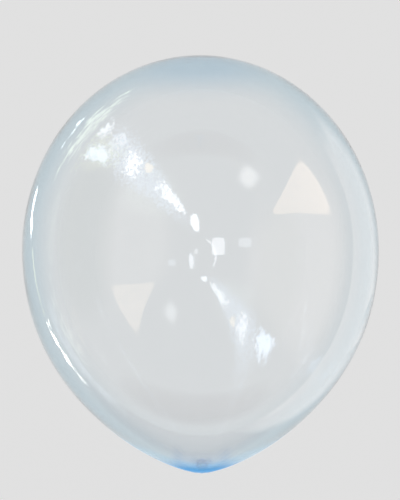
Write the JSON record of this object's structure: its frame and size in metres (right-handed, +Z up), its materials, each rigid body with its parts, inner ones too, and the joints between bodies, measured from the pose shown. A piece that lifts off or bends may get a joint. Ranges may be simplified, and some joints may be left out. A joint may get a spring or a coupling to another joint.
{
  "type": "bubble balloon",
  "caption": "Blown-up clear pale blue balloon with a round crown, a tapered neck end, a tight knot and a short tail with a rolled lip. Lies on a small flat spot.",
  "frame": {"origin": "on the floor, in the middle of the small flat spot that the balloon rests on", "axes": "+Z up, +Y towards the crown, -Y towards the knot and tail, +X across the widest ring"},
  "size_m": [0.3, 0.3882, 0.2989],
  "materials": {
    "clear_film": "glossy clear pale blue"
  },
  "bodies": {
    "root": {"balloon": "clear_film"}
  },
  "joints": []
}
